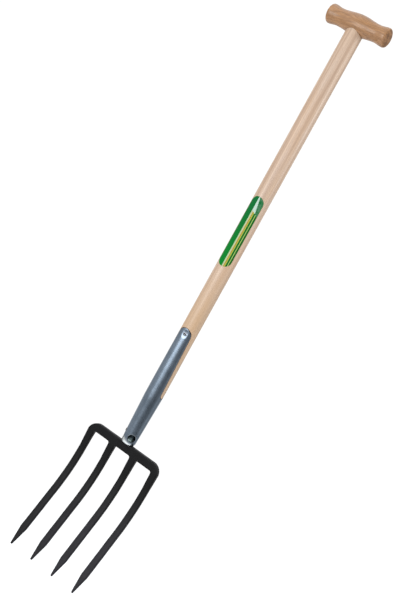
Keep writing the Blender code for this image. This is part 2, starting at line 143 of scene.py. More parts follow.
# Shaft, grip and label
SHAFT_FOOT = SHAFT_LOW.z - CROSSBAR_TOP
SHAFT_RADIUS = SHAFT_HIGH.x
SHAFT_TOP_RADIUS = SHAFT_RADIUS - 0.3 * MM
REBATE_GAP = 1.3 * MM  # round the straps that are let into the shaft
TENON_RADIUS = 11 * MM
SADDLE_GAP = 0.05 * MM  # around the tenon, where the shaft is cut to fit the grip
MORTISE_GAP = 0.2 * MM
KERF_GAP = 0.1 * MM  # around the wedge
WEDGE_WIDTH = 19 * MM
WEDGE_TOP = 3.2 * MM
WEDGE_LENGTH = 32 * MM
GRIP_HALF_LENGTH = GRIP_HIGH.x
GRIP_BARREL_RADIUS = GRIP_HIGH.y
GRIP_WAIST_RADIUS = 17.2 * MM
GRIP_WAIST = 42.5 * MM
GRIP_END_RADIUS = 19.4 * MM
GRIP_END = 60.5 * MM
GRIP_END_BITE = 0.83  # how far the grip's round ends close in
SANDED = 0.15 * MM  # how far the tenon is sanded down into the grip's skin
LABEL_HALF_WIDTH = LABEL_HIGH.x
LABEL_THICKNESS = 0.2 * MM
LABEL_LIFT = 0.1 * MM  # air between the film and the wood


# ---------------------------------------------------------------- shape helpers


def level(height):
    """The Z of a height above the crossbar's top."""
    return CROSSBAR_TOP + height


def mix(start, end, share):
    """A value between two others, held at both ends."""
    return start + (end - start) * min(max(share, 0), 1)


def swell(share):
    """A smooth hump: 1 at 0, falling to 0 at 1 and beyond."""
    return 0.5 + 0.5 * math.cos(math.pi * min(abs(share), 1))


def arc(centre_x, centre_z, radius, start, end, steps=12):
    angles = [math.radians(mix(start, end, step / steps)) for step in range(steps + 1)]
    return [(centre_x + radius * math.cos(a), centre_z + radius * math.sin(a)) for a in angles]


def add_object(name, mesh):
    item = bpy.data.objects.new(name, mesh)
    bpy.context.scene.collection.objects.link(item)
    return item


def open_mesh(mesh):
    shape = bmesh.new()
    shape.from_mesh(mesh)
    return shape


def close_mesh(shape, mesh):
    shape.to_mesh(mesh)
    shape.free()


def bake_modifiers(item):
    """Turns an object's modifiers into its mesh."""
    bpy.context.view_layer.update()
    evaluated = item.evaluated_get(bpy.context.evaluated_depsgraph_get())
    mesh = bpy.data.meshes.new_from_object(evaluated)
    item.modifiers.clear()
    item.data = mesh
    mesh.name = item.name
    return item


def shade_smooth(item, angle=None):
    """Smooth shading, with edges sharper than the angle kept crisp."""
    shape = open_mesh(item.data)
    for face in shape.faces:
        face.smooth = True
    for edge in shape.edges:
        sharp = angle is not None and len(edge.link_faces) == 2
        edge.smooth = not (sharp and edge.calc_face_angle(0) > math.radians(angle))
    close_mesh(shape, item.data)
    return item


def turned(name, profile, steps=128):
    """A profile of (radius, z) points turned about Z."""
    mesh = bpy.data.meshes.new(name)
    points = [(radius, 0, z) for radius, z in profile]
    mesh.from_pydata(points, [(i, i + 1) for i in range(len(points) - 1)], [])
    item = add_object(name, mesh)
    screw = item.modifiers.new("Screw", "SCREW")
    screw.steps = steps
    screw.render_steps = steps
    screw.use_merge_vertices = True
    screw.merge_threshold = 10 * MERGE
    bake_modifiers(item)
    shape = open_mesh(item.data)
    bmesh.ops.recalc_face_normals(shape, faces=shape.faces)
    close_mesh(shape, item.data)
    return item


def plate(name, outline, half_depth, edge_round=0.0):
    """A flat outline of (x, z) points given thickness along Y, with round edges."""
    curve = bpy.data.curves.new(name, "CURVE")
    curve.dimensions = "2D"
    curve.fill_mode = "BOTH"
    curve.extrude = half_depth - edge_round
    curve.bevel_depth = edge_round
    curve.bevel_resolution = 3
    curve.offset = -edge_round
    spline = curve.splines.new("POLY")
    spline.points.add(len(outline) - 1)
    for point, (x, z) in zip(spline.points, outline):
        point.co = (x, z, 0, 1)
    spline.use_cyclic_u = True
    item = add_object(name, curve)
    bpy.context.view_layer.update()
    mesh = bpy.data.meshes.new_from_object(item.evaluated_get(bpy.context.evaluated_depsgraph_get()))
    bpy.data.objects.remove(item, do_unlink=True)
    mesh.transform(Matrix.Rotation(math.radians(90), 4, "X"))
    shape = open_mesh(mesh)
    bmesh.ops.remove_doubles(shape, verts=shape.verts, dist=MERGE)
    bmesh.ops.recalc_face_normals(shape, faces=shape.faces)
    close_mesh(shape, mesh)
    return add_object(name, mesh)


def rod(name, radius, start, end, segments=96):
    """A round bar between two points."""
    mesh = bpy.data.meshes.new(name)
    shape = bmesh.new()
    along = Vector(end) - Vector(start)
    place = Matrix.Translation((Vector(start) + Vector(end)) / 2)
    place = place @ along.to_track_quat("Z", "Y").to_matrix().to_4x4()
    bmesh.ops.create_cone(
        shape,
        cap_ends=True,
        segments=segments,
        radius1=radius,
        radius2=radius,
        depth=along.length,
        matrix=place,
    )
    close_mesh(shape, mesh)
    return add_object(name, mesh)


def boolean(item, other, operation):
    """Cuts or joins at once, and removes the cutter."""
    modifier = item.modifiers.new(operation.title(), "BOOLEAN")
    modifier.operation = operation
    modifier.solver = "EXACT"
    modifier.object = other
    bake_modifiers(item)
    bpy.data.objects.remove(other, do_unlink=True)
    return item


def bevel(item, width, segments, angle):
    modifier = item.modifiers.new("Bevel", "BEVEL")
    modifier.width = width
    modifier.segments = segments
    modifier.limit_method = "ANGLE"
    modifier.angle_limit = math.radians(angle)
    modifier.use_clamp_overlap = True
    return bake_modifiers(item)


def move_points(item, change):
    for vertex in item.data.vertices:
        vertex.co = change(vertex.co.copy())
    item.data.update()
    return item


def resurface(item, voxel, iterations):
    """Melts a mesh into one even skin and softens its edges."""
    remesh = item.modifiers.new("Remesh", "REMESH")
    remesh.mode = "VOXEL"
    remesh.voxel_size = voxel
    smooth = item.modifiers.new("Smooth", "SMOOTH")
    smooth.iterations = iterations
    return bake_modifiers(item)


def roughen(item, depth):
    """Moves each point out along its normal by depth(point)."""
    normals = [vertex.normal.copy() for vertex in item.data.vertices]
    for vertex, normal in zip(item.data.vertices, normals):
        vertex.co += normal * depth(vertex.co)
    return item


def grid_faces(first, rows, columns):
    """The faces between rows of points, counted from the first point."""
    width = columns + 1
    starts = [first + row * width for row in range(rows - 1)]
    corners = [corner for start in starts for corner in range(start, start + columns)]
    return [(corner, corner + 1, corner + width + 1, corner + width) for corner in corners]


# ---------------------------------------------------------------- fork head


def bend(down):
    """Where a point on the tines' centreline lies, and its lean, by its distance down the steel."""
    share = min(max((down - BEND_START) / BEND_LENGTH, 0), 1)
    lean = BEND_ANGLE * share
    radius = BEND_LENGTH / BEND_ANGLE
    straight = max(down - BEND_START - BEND_LENGTH, 0)
    forward = radius * (1 - math.cos(lean)) + straight * math.sin(lean)
    drop = min(down, BEND_START) + radius * math.sin(lean) + straight * math.cos(lean)
    return forward, drop, lean


def tine_centres():
    return [(index - (TINE_COUNT - 1) / 2) * TINE_PITCH for index in range(TINE_COUNT)]


def point_share(down):
    return (down - TINE_LENGTH + POINT_LENGTH) / POINT_LENGTH


def tine_width(down):
    width = mix(TINE_ROOT_WIDTH, TINE_WIDTH, (down - CROSSBAR_HEIGHT) / TINE_NECK)
    return mix(width, TIP_WIDTH, point_share(down))


def steel_thickness(across, down):
    if down < 0:
        return TANG_THICKNESS
    body = mix(CROSSBAR_THICKNESS, TINE_THICKNESS, (down - CROSSBAR_HEIGHT) / TINE_NECK)
    body = mix(body, TINE_END_THICKNESS, (down - BEND_START) / (TINE_LENGTH - BEND_START))
    boss = swell(across / BOSS_REACH) * swell(down / CROSSBAR_HEIGHT)
    return mix(body, TIP_THICKNESS, point_share(down)) + 2 * BOSS_DEPTH * boss


def shape_head(point):
    """Moves a point of the flat comb to its place on the bent head."""
    down = -point.z
    across = point.x
    crown = 1.0
    if down > CROSSBAR_HEIGHT + INNER_CORNER:
        centre = min(tine_centres(), key=lambda x: abs(x - across))
        aside = (across - centre) / (TINE_ROOT_WIDTH / 2)
        crown = 1 - TINE_CROWN * aside**2
        across = centre + aside * tine_width(down) / 2
    depth = point.y * crown * steel_thickness(across, down) / CROSSBAR_THICKNESS
    forward, drop, lean = bend(down)
    return Vector((across, depth * math.cos(lean) - forward, level(-drop - depth * math.sin(lean))))


def comb_outline():
    """The head laid flat: tang, crossbar and square-ended tines."""
    half = HEAD_WIDTH / 2
    tang = TANG_WIDTH / 2
    inner = CROSSBAR_HEIGHT + INNER_CORNER
    corner = arc(OUTER_CORNER - half, -OUTER_CORNER, OUTER_CORNER, 180, 90)
    top = corner + [(-tang, 0), (-tang, TANG_HEIGHT)]
    outline = top + [(-x, z) for x, z in reversed(top)]
    centres = sorted(tine_centres(), reverse=True)
    for index, centre in enumerate(centres):
        right = centre + TINE_ROOT_WIDTH / 2
        left = centre - TINE_ROOT_WIDTH / 2
        if index > 0:
            outline += arc(right + INNER_CORNER, -inner, INNER_CORNER, 90, 180)
        outline += [(right, -TINE_LENGTH), (left, -TINE_LENGTH)]
        if index < TINE_COUNT - 1:
            outline += arc(left - INNER_CORNER, -inner, INNER_CORNER, 0, 90)
    return outline


def cut_levels(shape, levels, normal):
    """Adds rows of edges at distances along a normal, so that the flat comb can bend there."""
    for distance in levels:
        bmesh.ops.bisect_plane(
            shape,
            geom=shape.verts[:] + shape.edges[:] + shape.faces[:],
            dist=MERGE,
            plane_co=Vector(normal) * distance,
            plane_no=normal,
        )


def hammer_marks(point):
    """A forging is never quite flat: broad, shallow unevenness, with a finer one on it."""
    broad = noise.noise(point * 55)
    fine = noise.noise(point * 190 + Vector((3, 7, 11)))
    return HAMMER_DEPTH * broad + SCALE_DEPTH * fine - FORGING_INSET


def build_head():
    head = plate("forged_head", comb_outline(), CROSSBAR_THICKNESS / 2, EDGE_ROUND)
    shape = open_mesh(head.data)
    down = [CROSSBAR_HEIGHT * step / 8 for step in range(9)]
    down += [CROSSBAR_HEIGHT + INNER_CORNER + 0.1 * MM, CROSSBAR_HEIGHT + TINE_NECK]
    down += [BEND_START + BEND_LENGTH * step / 28 for step in range(29)]
    down += [TINE_LENGTH - POINT_LENGTH * (1 - step / 6) for step in range(6)] + [-CLEARANCE]
    cut_levels(shape, down, (0, 0, -1))
    cut_levels(shape, [BOSS_REACH * step / 8 for step in range(-8, 9)], (1, 0, 0))
    for centre in tine_centres():
        cut_levels(shape, [centre + TINE_ROOT_WIDTH * share for share in (-0.25, 0, 0.25)], (1, 0, 0))
    close_mesh(shape, head.data)
    move_points(head, shape_head)
    resurface(head, FORGING_VOXEL, 5)
    return shade_smooth(roughen(head, hammer_marks))


# ---------------------------------------------------------------- socket and its fixings


def socket_outer(height):
    """Outside radius of the socket: a foot that rolls in, a straight cone, then level straps."""
    radius = mix(SOCKET_FOOT_RADIUS, SOCKET_MOUTH_RADIUS, height / CONE_HEIGHT)
    tuck = 1 - min(height / SOCKET_FOOT_HEIGHT, 1)
    return radius - SOCKET_FOOT_TUCK * (1 - math.sqrt(1 - tuck**2))


def socket_inner(height):
    return socket_outer(height) - SOCKET_WALL


def strap_angle(height, radius, gap):
    """Half the angle that one half of the sheet covers, narrowed by the side slots and the round top."""
    angle = math.pi / 2
    if height > SLOT_BOTTOM:
        foot = SLOT_BOTTOM + SLOT_HALF_WIDTH
        slot = math.sqrt(max((SLOT_HALF_WIDTH - gap) ** 2 - (foot - min(height, foot)) ** 2, 0))
        slot = mix(slot, SLOT_TOP_HALF_WIDTH - gap, (height - foot) / (STRAP_SHOULDER - foot))
        angle = math.acos(slot / radius)
    if height > STRAP_SHOULDER:
        reach = math.sqrt(max((STRAP_HALF_WIDTH + gap) ** 2 - (height - STRAP_SHOULDER) ** 2, 0))
        angle = min(angle, math.asin(reach / radius))
    return angle


def strap_rows(start, gap):
    """Heights of the sheet's rows, closest where its outline turns."""
    round_top = STRAP_HALF_WIDTH + gap
    foot = [SOCKET_FOOT_HEIGHT * (1 - math.cos(math.pi / 2 * step / 10)) for step in range(10)]
    foot[0] = SOCKET_FOOT
    cone = [mix(SOCKET_FOOT_HEIGHT, SLOT_BOTTOM, step / 50) for step in range(51)]
    turns = [math.radians(90) * step / 10 for step in range(1, 11)]
    slot = [SLOT_BOTTOM + SLOT_HALF_WIDTH * (1 - math.cos(turn)) for turn in turns]
    strap = [mix(slot[-1], STRAP_SHOULDER, step / 110) for step in range(1, 110)]
    top = [STRAP_SHOULDER + round_top * math.sin(math.radians(turn)) for turn in range(0, 90, 4)]
    rows = foot + cone + slot + strap + top + [STRAP_SHOULDER + round_top - 2 * MERGE]
    return [height for height in rows if height >= start]


def dimple(point):
    """Both straps are pressed flat round the rivet."""
    local = RIVET_TURN.inverted() @ point
    away = math.hypot(local.x, local.z - level(RIVET_HEIGHT)) / DIMPLE_RADIUS
    if away < 1:
        skin = math.sqrt(SOCKET_MOUTH_RADIUS**2 - local.x**2)
        press = max(skin - SOCKET_MOUTH_RADIUS + DIMPLE_DEPTH, 0) * swell(away) ** 0.4
        local.y -= math.copysign(press, local.y)
    return RIVET_TURN @ local


def strap_sheet(name, start, inner, outer, gap=0.0):
    """A tube that parts into a front and a rear strap, as rows of points on its inside and outside."""
    columns = 64
    width = columns + 1
    rows = strap_rows(start, gap)
    points, faces = [], []
    for facing in (-1, 1):
        skins = []
        for skin in (outer, inner):
            skins.append(len(points))
            for height in rows:
                radius = skin(height)
                reach = strap_angle(height, radius, gap)
                for column in range(width):
                    angle = reach * (2 * column / columns - 1)
                    x, y = -facing * radius * math.sin(angle), facing * radius * math.cos(angle)
                    points.append((x, y, level(height)))
        outside, inside = skins
        faces += grid_faces(outside, len(rows), columns) + grid_faces(inside, len(rows), columns)
        rims = []
        for end in (0, (len(rows) - 1) * width):
            rims += [(corner, corner + 1) for corner in range(end, end + columns)]
        for row, height in enumerate(rows[1:]):
            if strap_angle(height, outer(height), gap) < math.pi / 2:
                rims += [(edge, edge + width) for edge in (row * width, row * width + columns)]
        faces += [(outside + a, outside + b, inside + b, inside + a) for a, b in rims]
    mesh = bpy.data.meshes.new(name)
    mesh.from_pydata(points, [], faces)
    shape = open_mesh(mesh)
    bmesh.ops.remove_doubles(shape, verts=shape.verts, dist=4 * MERGE)
    bmesh.ops.dissolve_degenerate(shape, edges=shape.edges, dist=4 * MERGE)
    bmesh.ops.recalc_face_normals(shape, faces=shape.faces)
    close_mesh(shape, mesh)
    return move_points(add_object(name, mesh), dimple)


def build_socket():
    socket = strap_sheet("strap_socket", SOCKET_FOOT, socket_inner, socket_outer)
    start, end = WINDOW_CENTRE + WINDOW_SIDE * 4 * MM, WINDOW_CENTRE + WINDOW_SIDE * FAR
    boolean(socket, rod("window", WINDOW_RADIUS, start, end), "DIFFERENCE")
    bevel(socket, SHEET_EDGE, 3, 50)
    return shade_smooth(socket, 35)


def build_weld():
    """The uneven bead that holds the tang in the socket."""
    foot = socket_inner(SOCKET_FOOT) - CLEARANCE
    profile = [(0, level(WELD_HEIGHT))]
    for share in (1, 0.8, 0.5, 0.2, 0):
        height = mix(SOCKET_FOOT, WELD_HEIGHT, share)
        profile.append((foot * (1 - WELD_TAPER * share**2), level(height)))
    weld = turned("weld_bead", profile + [(0, level(SOCKET_FOOT))], 64)
    side, low, high = TANG_WIDTH / 2 + CLEARANCE, level(-FAR), level(FAR)
    slot = [(-side, low), (side, low), (side, high), (-side, high)]
    boolean(weld, plate("slot", slot, TANG_THICKNESS / 2 + 2 * CLEARANCE), "DIFFERENCE")
    resurface(weld, WELD_VOXEL, 6)
    roughen(weld, lambda point: WELD_RIPPLE * (noise.noise(point * 420) - 0.5))

    def pile(point):
        rise = (point.z - level(SOCKET_FOOT)) / WELD_HEIGHT
        point.z += WELD_PILE * rise * max(-point.x / foot, 0)
        return point

    return shade_smooth(move_points(weld, pile))


def build_rivet(name, seat, height, head_radius, tail=0.0):
    """A rivet along -Y with a domed, slightly dished head, and another one or a flush tail behind."""
    dome = []
    for step in range(15):
        share = step / 14
        rise = math.sqrt(1 - share**2.4)
        dish = HEAD_DISH * swell(share / HEAD_DISH_REACH)
        dome.append((head_radius * share, seat + height * (rise - dish)))
    half = dome + [(SHANK_RADIUS, seat)]
    back = [(SHANK_RADIUS, -tail), (0, -tail)] if tail else [(radius, -z) for radius, z in reversed(half)]
    rivet = turned(name, half + back, 64)
    rivet.data.transform(Matrix.Rotation(math.radians(90), 4, "X"))
    return shade_smooth(rivet, 50)


# ---------------------------------------------------------------- wooden parts


def grip_radius(distance):
    reach = abs(distance)
    if reach < GRIP_WAIST:
        return mix(GRIP_WAIST_RADIUS, GRIP_BARREL_RADIUS, swell(reach / GRIP_WAIST))
    if reach < GRIP_END:
        share = (reach - GRIP_WAIST) / (GRIP_END - GRIP_WAIST)
        return mix(GRIP_END_RADIUS, GRIP_WAIST_RADIUS, swell(share))
    share = (reach - GRIP_END) / (GRIP_HALF_LENGTH - GRIP_END)
    return GRIP_END_RADIUS * math.sqrt(1 - GRIP_END_BITE * share**2.6)


def grip_profile(extra=0.0):
    reach = GRIP_HALF_LENGTH
    ends = [reach - (reach - GRIP_END) * (step / 12) ** 1.8 for step in range(13)]
    middle = [GRIP_END * (1 - step / 40) for step in range(1, 41)]
    upper = [(grip_radius(x) + extra, x) for x in ends + middle]
    lower = [(radius, -x) for radius, x in reversed(upper[:-1])]
    return [(0, reach)] + upper + lower + [(0, -reach)]


def grip_solid(name, extra=0.0):
    solid = turned(name, grip_profile(extra), 144)
    solid.data.transform(Matrix.Rotation(math.radians(90), 4, "Y"))
    return solid


def trim_waste():
    """What lies above the grip's skin, which is sanded off the tenon and its wedge."""
    outline = [(-FAR, 0), (FAR, 0), (FAR, 2 * FAR), (-FAR, 2 * FAR)]
    return boolean(plate("waste", outline, FAR), grip_solid("crown", -SANDED), "DIFFERENCE")


def wedge_outline(extra=0.0):
    top = GRIP_BARREL_RADIUS + FAR / 8
    bottom = top - WEDGE_LENGTH
    return [
        (-WEDGE_TOP / 2 - extra, top + 10 * extra),
        (-WEDGE_TOP / 8 - extra, bottom - extra),
        (WEDGE_TOP / 8 + extra, bottom - extra),
        (WEDGE_TOP / 2 + extra, top + 10 * extra),
    ]


def build_shaft():
    """The shaft with its tenon, cut to a saddle round the grip and rebated for the straps."""
    shoulder = -GRIP_BARREL_RADIUS / 4
    profile = [(0, FAR), (TENON_RADIUS, FAR), (TENON_RADIUS, shoulder)]
    for step in range(31):
        share = step / 30
        height = mix(shoulder, level(STRAP_TOP), share)
        profile.append((mix(SHAFT_TOP_RADIUS, SHAFT_RADIUS, share), height))
    profile += [(SHAFT_RADIUS, level(SHAFT_FOOT)), (0, level(SHAFT_FOOT))]
    shaft = turned("ash_shaft", profile)
    saddle = grip_solid("saddle", CLEARANCE)
    boolean(saddle, rod("tenon", TENON_RADIUS + SADDLE_GAP, (0, 0, -FAR), (0, 0, FAR), 128), "DIFFERENCE")
    boolean(shaft, saddle, "DIFFERENCE")
    rebate = strap_sheet(
        "rebate",
        SHAFT_FOOT - SOCKET_FOOT_HEIGHT,
        lambda height: socket_inner(height) - CLEARANCE,
        lambda height: SHAFT_RADIUS + 3 * CLEARANCE,
        REBATE_GAP,
    )
    boolean(shaft, rebate, "DIFFERENCE")
    boolean(shaft, plate("kerf", wedge_outline(KERF_GAP), WEDGE_WIDTH), "DIFFERENCE")
    boolean(shaft, trim_waste(), "DIFFERENCE")
    return shade_smooth(shaft, 30)


def build_grip():
    grip = grip_solid("turned_grip")
    bore = rod("mortise", TENON_RADIUS + MORTISE_GAP, (0, 0, -FAR), (0, 0, FAR), 128)
    boolean(grip, bore, "DIFFERENCE")
    return shade_smooth(grip, 30)


def build_wedge():
    wedge = plate("tenon_wedge_wood", wedge_outline(), WEDGE_WIDTH / 2)
    return boolean(wedge, trim_waste(), "DIFFERENCE")


def build_label():
    """A printed film with round ends, wrapped on the front of the shaft."""
    columns, ends, middle = 40, 14, 60
    low, high = LABEL_LOW.z, LABEL_HIGH.z
    half = LABEL_HALF_WIDTH
    turn = [half * (1 - math.cos(math.radians(90) * step / ends)) for step in range(1, ends + 1)]
    rows = [low + rise for rise in turn]
    rows += [mix(low + half, high - half, step / middle) for step in range(1, middle)]
    rows += [high - rise for rise in reversed(turn)]
    points = []
    for z in rows:
        past = max(low + half - z, z - high + half, 0)
        reach = math.sqrt(max(half**2 - past**2, 0))
        share = (z - level(STRAP_TOP)) / -level(STRAP_TOP)
        radius = mix(SHAFT_RADIUS, SHAFT_TOP_RADIUS, share) + LABEL_LIFT + LABEL_THICKNESS
        for column in range(columns + 1):
            angle = math.asin(reach / radius) * (2 * column / columns - 1)
            points.append((radius * math.sin(angle), -radius * math.cos(angle), z))
    mesh = bpy.data.meshes.new("printed_label")
    mesh.from_pydata(points, [], grid_faces(0, len(rows), columns))
    label = add_object("printed_label", mesh)
    solid = label.modifiers.new("Solidify", "SOLIDIFY")
    solid.thickness = LABEL_THICKNESS
    solid.offset = -1
    bake_modifiers(label)
    return shade_smooth(label, 40)


# ---------------------------------------------------------------- materials


class Look:
    """A material under construction."""

    def __init__(self, name):
        self.material = bpy.data.materials.new(name)
        self.material.use_nodes = True
        self.tree = self.material.node_tree
        self.shader = self.tree.nodes["Principled BSDF"]
        self.place = self.node("TexCoord").outputs["Object"]

    def feed(self, socket, value):
        if isinstance(value, bpy.types.NodeSocket):
            self.tree.links.new(value, socket)
        elif hasattr(value, "__len__") and len(value) == 3 and socket.type == "RGBA":
            socket.default_value = (*value, 1)
        else:
            socket.default_value = value

    def node(self, kind, options=None, **inputs):
        made = self.tree.nodes.new("ShaderNode" + kind)
        for key, value in (options or {}).items():
            setattr(made, key, value)
        for key, value in inputs.items():
            self.feed(made.inputs[key], value)
        return made

    def operate(self, kind, operation, values):
        made = self.node(kind, {"operation": operation})
        for socket, value in zip(made.inputs, values):
            self.feed(socket, value)
        return made

    def math(self, operation, *values):
        return self.operate("Math", operation, values).outputs[0]

    def vector(self, operation, *values):
        made = self.operate("VectorMath", operation, values)
        return made.outputs["Value" if operation in ("LENGTH", "DISTANCE") else "Vector"]

    def times(self, first, *others):
        for other in others:
            first = self.math("MULTIPLY", first, other)
        return first

    def plus(self, first, *others):
        for other in others:
            first = self.math("ADD", first, other)
        return first

    def axes(self):
        """The object's three coordinates."""
        return self.node("SeparateXYZ", Vector=self.place).outputs

    def scaled(self, x, y, z, source=None):
        """The object's coordinates stretched by a factor along each axis."""
        return self.vector("MULTIPLY", source or self.place, (x, y, z))

    def reach(self):
        """The distance from the object's Z axis."""
        return self.vector("LENGTH", self.scaled(1, 1, 0))

    def noise(self, vector, scale=1.0, detail=4.0, roughness=0.5):
        made = self.node("TexNoise", Vector=vector, Scale=scale, Detail=detail, Roughness=roughness)
        return made.outputs["Fac"]

    def fit(self, value, low, high, to_low=0.0, to_high=1.0):
        """A value's range moved to another, held at its ends."""
        made = self.node("MapRange")
        keys = ("Value", "From Min", "From Max", "To Min", "To Max")
        for key, given in zip(keys, (value, low, high, to_low, to_high)):
            self.feed(made.inputs[key], given)
        return made.outputs[0]

    def blend(self, share, first, second):
        made = self.node("Mix", {"data_type": "RGBA"})
        self.feed(made.inputs["Factor"], share)
        self.feed(made.inputs[6], first)
        self.feed(made.inputs[7], second)
        return made.outputs[2]

    def ramp(self, value, stops, interpolation="LINEAR"):
        made = self.node("ValToRGB", Fac=value)
        made.color_ramp.interpolation = interpolation
        elements = made.color_ramp.elements
        while len(elements) < len(stops):
            elements.new(0.5)
        for element, (position, colour) in zip(elements, stops):
            element.position = position
            element.color = (*colour, 1)
        return made.outputs["Color"]

    def edges(self, low=0.52, high=0.58):
        """1 on the outward edges of the mesh, 0 elsewhere."""
        return self.fit(self.node("NewGeometry").outputs["Pointiness"], low, high)

    def bump(self, height, strength, distance):
        made = self.node("Bump", Height=height, Strength=strength, Distance=distance)
        self.feed(self.shader.inputs["Normal"], made.outputs[0])

    def set(self, **inputs):
        for key, value in inputs.items():
            self.feed(self.shader.inputs[key.replace("_", " ")], value)
        return self.material


def paint_look():
    """Matte black paint, lighter towards the points and the right as dust and painted light, rubbed on
    its edges; bare tang, darker above the window's middle as painted shade.
    """
    look = Look("matte_black_paint")
    side, _, up = look.axes()
    cloud = look.noise(look.place, 28, 5, 0.6)
    grit = look.noise(look.place, 1500, 3, 0.6)
    flakes = look.noise(look.place, 160, 6, 0.65)
    paint = look.ramp(cloud, [(0.3, (0.0015, 0.0015, 0.0018)), (0.7, (0.003, 0.003, 0.0035))])
    # Lighter grey towards the points and the right: partly dust, partly painted light standing in for how
    # the light falls on the tines.
    dust_and_lit_colour = look.ramp(cloud, [(0.3, (0.0085, 0.008, 0.0105)), (0.7, (0.0135, 0.013, 0.016))])
    dust_and_painted_light = look.times(
        look.fit(side, -HEAD_WIDTH / 2, 20 * MM, 0.15, 1),
        look.fit(up, level(-70 * MM), level(-190 * MM)),
    )
    colour = look.blend(dust_and_painted_light, paint, dust_and_lit_colour)
    rubbed = look.times(look.edges(0.53, 0.6), look.fit(flakes, 0.45, 0.65), 0.3)
    colour = look.blend(rubbed, colour, (0.04, 0.04, 0.043))
    bare = look.ramp(flakes, [(0.35, (0.15, 0.2, 0.2)), (0.6, (0.32, 0.41, 0.41))])
    # Above the window's middle the bare tang is painted dark: painted shade under the window's top edge.
    bare = look.blend(look.fit(up, level(9.5 * MM), level(15 * MM)), bare, (0.02, 0.03, 0.036))
    colour = look.blend(look.fit(up, level(2 * MM), level(4 * MM)), colour, bare)
    look.bump(look.plus(look.times(grit, 0.35), flakes), 0.35, 0.25 * MM)
    rough = look.plus(look.fit(flakes, 0.3, 0.7, 0.42, 0.54), look.times(grit, 0.06))
    return look.set(Base_Color=colour, Roughness=rough, Metallic=0.0, Specular_IOR_Level=0.15)


def galvanised_look():
    """Zinc-coated sheet: bluish grey, faint crystals, fine draw lines, and an inside painted dark as
    shade, and duller.

    The socket's foot has a pale, ragged rim, brighter and higher on the left as a painted highlight,
    and the window a bright upper edge, partly a burr and partly a painted highlight.
    """
    look = Look("galvanised_sheet")
    side, ahead, up = look.axes()
    crystals = look.node("TexVoronoi", Vector=look.scaled(1, 1, 0.6), Scale=260.0, Randomness=1.0)
    crystal = look.node("SeparateColor", Color=crystals.outputs["Color"]).outputs[0]
    lines = look.noise(look.scaled(1400, 1400, 12), 1, 3, 0.6)
    cloud = look.noise(look.place, 45, 4, 0.55)
    base = look.ramp(cloud, [(0.3, (0.168, 0.213, 0.266)), (0.7, (0.218, 0.272, 0.338))])
    base = look.blend(look.fit(crystal, 0, 1, 0, 0.08), base, (0.32, 0.37, 0.43))
    base = look.blend(look.fit(lines, 0.5, 0.75, 0, 0.15), base, (0.12, 0.14, 0.165))
    # Convex edges are lightened a little: a painted highlight.
    base = look.blend(look.times(look.edges(), 0.1), base, (0.6, 0.62, 0.64))

    radii = socket_outer(SOCKET_FOOT_HEIGHT), SOCKET_MOUTH_RADIUS
    skin = look.fit(up, level(SOCKET_FOOT_HEIGHT), level(CONE_HEIGHT), *radii)
    # The sheet's inside is painted dark, as painted shade; below it is also made rougher.
    inside = look.times(
        look.fit(look.math("SUBTRACT", skin, look.reach()), SOCKET_WALL / 2, SOCKET_WALL),
        look.math("GREATER_THAN", up, level(SOCKET_FOOT_HEIGHT)),
    )
    base = look.blend(inside, base, (0.1, 0.11, 0.11))

    # The foot's pale, ragged rim reaches higher on the left: partly a painted highlight on the rolled
    # rim.
    ragged = look.times(look.noise(look.place, 130, 3, 0.6), 6 * MM)
    rim_and_highlight = look.plus(up, ragged, look.times(side, 0.45))
    base = look.blend(look.fit(rim_and_highlight, level(13.5 * MM), level(8.5 * MM)), base, (0.7, 0.74, 0.74))

    # A bright band round the window's upper, front edge: partly a burr of the punched edge, partly a
    # painted highlight.
    from_centre = look.vector("SUBTRACT", look.place, WINDOW_CENTRE)
    away = look.vector("LENGTH", look.vector("CROSS_PRODUCT", from_centre, WINDOW_SIDE))
    burr_and_highlight = look.times(
        look.fit(away, WINDOW_RADIUS + 1.6 * MM, WINDOW_RADIUS + 0.9 * MM),
        look.fit(up, level(WINDOW_HEIGHT), level(WINDOW_HEIGHT + 4 * MM)),
        look.math("LESS_THAN", ahead, 0),
        look.fit(look.noise(look.place, 300, 3, 0.6), 0.35, 0.6, 0.1, 0.6),
    )
    base = look.blend(burr_and_highlight, base, (0.5, 0.56, 0.56))

    rough = look.plus(
        look.fit(crystal, 0, 1, 0.33, 0.35),
        look.fit(lines, 0.3, 0.7, -0.01, 0.02),
        look.times(inside, 0.3),
        look.fit(up, level(CONE_HEIGHT), level(STRAP_TOP - 70 * MM), -0.055, 0),
    )
    look.bump(look.plus(look.times(lines, 0.4), cloud), 0.05, 0.1 * MM)
    return look.set(Base_Color=base, Roughness=rough, Metallic=1.0)


def steel_look(name, dark, light, roughness, pitting, dish=None):
    """Bare or plated steel; dish is the middle of a rivet head whose hollow is darkened in spots."""
    look = Look(name)
    cloud = look.noise(look.place, 350, 5, 0.6)
    base = look.ramp(cloud, [(0.35, dark), (0.68, light)])
    if dish:
        away = look.vector("DISTANCE", look.place, dish)
        hollow = look.fit(away, RIVET_HEAD_RADIUS * 0.75, RIVET_HEAD_RADIUS * 0.5)
        spots = look.fit(look.noise(look.place, 520, 1, 0.4), 0.36, 0.5)
        base = look.blend(look.times(hollow, spots), base, (0.03, 0.035, 0.04))
    look.bump(look.noise(look.place, 900, 4, 0.6), pitting, 0.2 * MM)
    rough = look.fit(cloud, 0.3, 0.7, roughness - 0.06, roughness + 0.08)
    return look.set(Base_Color=base, Roughness=rough, Metallic=1.0)


ASH = ((0.53, 0.392, 0.29), (0.525, 0.357, 0.232), (0.41, 0.282, 0.2), (0.3, 0.19, 0.127))
BEECH = ((0.38, 0.203, 0.1), (0.37, 0.178, 0.06), (0.25, 0.124, 0.052), (0.12, 0.053, 0.02))
OAK = ((0.26, 0.15, 0.08), (0.24, 0.13, 0.065), (0.2, 0.11, 0.055), (0.1, 0.05, 0.025))


